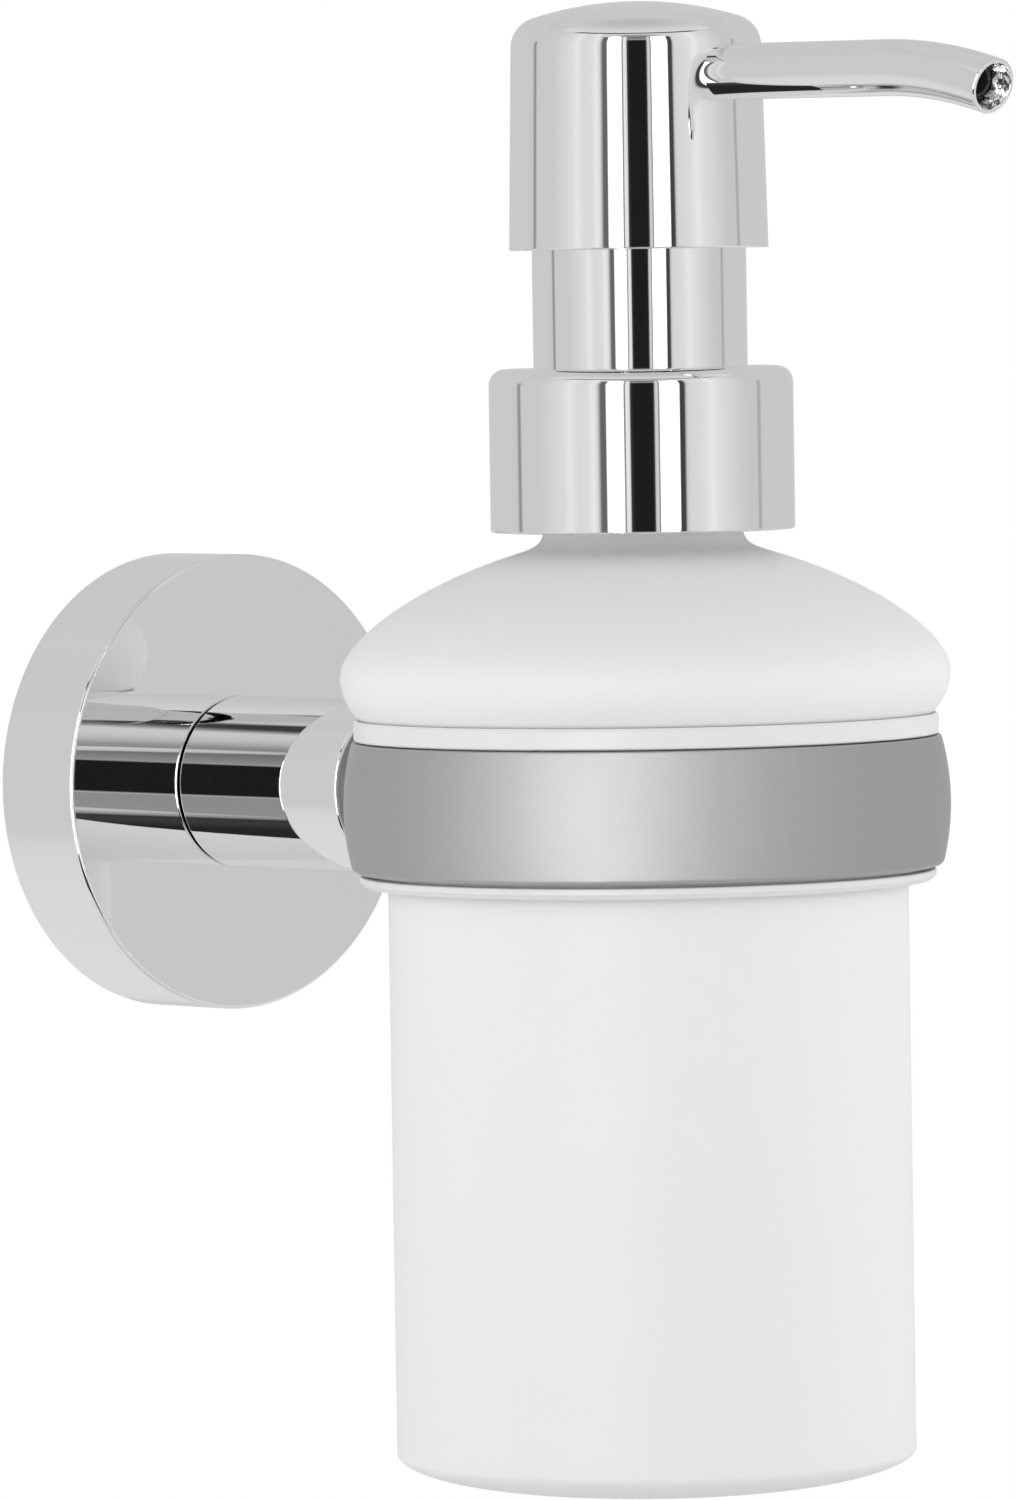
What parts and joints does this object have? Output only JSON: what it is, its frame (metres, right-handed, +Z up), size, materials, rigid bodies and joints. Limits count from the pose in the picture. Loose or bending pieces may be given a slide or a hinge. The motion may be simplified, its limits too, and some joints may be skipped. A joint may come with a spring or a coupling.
{
  "type": "wall mounted soap dispenser",
  "caption": "Chrome wall rose and arm with a satin ring that holds a frosted glass bottle with a push-top liquid soap pump.",
  "frame": {"origin": "centre of the wall rose, on the wall face", "axes": "+Y into the wall, -Y out along the arm to the bottle and along the spout, +Z up"},
  "size_m": [0.074, 0.1462, 0.1795],
  "materials": {
    "chrome_plate": "polished",
    "satin_metal": "satin",
    "white_plastic": "smooth",
    "frosted_glass": "frosted",
    "zinc_steel": "zinc plated",
    "screw_steel": "plain",
    "natural_plastic": "moulded",
    "clear_plastic": "smooth",
    "seal_rubber": "matt",
    "spring_steel": "bright"
  },
  "bodies": {
    "holder": {"wall_plate": "zinc_steel", "flange_cover": "chrome_plate", "flange_grub_screw": "screw_steel", "arm_screw": "screw_steel", "arm_post": "chrome_plate", "ring_spacer": "chrome_plate", "ring_screw": "screw_steel", "holder_ring": "satin_metal", "ring_liner": "white_plastic"},
    "bottle": {"glass_bottle": "frosted_glass"},
    "cartridge": {"pump_housing": "natural_plastic", "housing_gasket": "seal_rubber", "stem_retainer": "natural_plastic", "stem_wiper": "seal_rubber", "guide_sleeve": "chrome_plate", "dip_tube": "clear_plastic", "return_spring": "spring_steel"},
    "collar": {"collar_shell": "chrome_plate", "collar_thread_insert": "natural_plastic"},
    "plunger": {"pump_stem": "natural_plastic", "piston_seal": "seal_rubber"},
    "actuator": {"head_shell": "chrome_plate", "actuator_core": "natural_plastic", "spout": "chrome_plate"},
    "inlet_valve": {"inlet_ball": "spring_steel"},
    "outlet_valve": {"outlet_ball": "spring_steel"}
  },
  "joints": [
    {"name": "bottle_lift", "type": "slide", "parent": "holder", "child": "bottle", "axis": [0, 0, 1], "range_m": [0, 0.1]},
    {"name": "collar_rise", "type": "slide", "parent": "bottle", "child": "cartridge", "axis": [0, 0, 1], "range_m": [0, 0.0048]},
    {"name": "collar_turn", "type": "hinge", "parent": "cartridge", "child": "collar", "pos_m": [0, -0.086, 0.042], "axis": [0, 0, 1], "range_deg": [0, 540]},
    {"name": "pump_stroke", "type": "slide", "parent": "cartridge", "child": "plunger", "axis": [0, 0, -1], "range_m": [0, 0.013], "stiffness_N_per_m": 700, "springref_m": -0.006, "deforming": ["return_spring"]},
    {"name": "spout_swivel", "type": "hinge", "parent": "plunger", "child": "actuator", "pos_m": [0, -0.086, 0.08], "axis": [0, 0, 1], "continuous": true},
    {"name": "inlet_ball_lift", "type": "slide", "parent": "cartridge", "child": "inlet_valve", "axis": [0, 0, 1], "range_m": [0, 0.0012]},
    {"name": "outlet_ball_lift", "type": "slide", "parent": "plunger", "child": "outlet_valve", "axis": [0, 0, 1], "range_m": [0, 0.0015]}
  ],
  "couplings": [
    {"joint": "collar_rise", "follows": "collar_turn", "m_per_rad": 0.0005093}
  ]
}
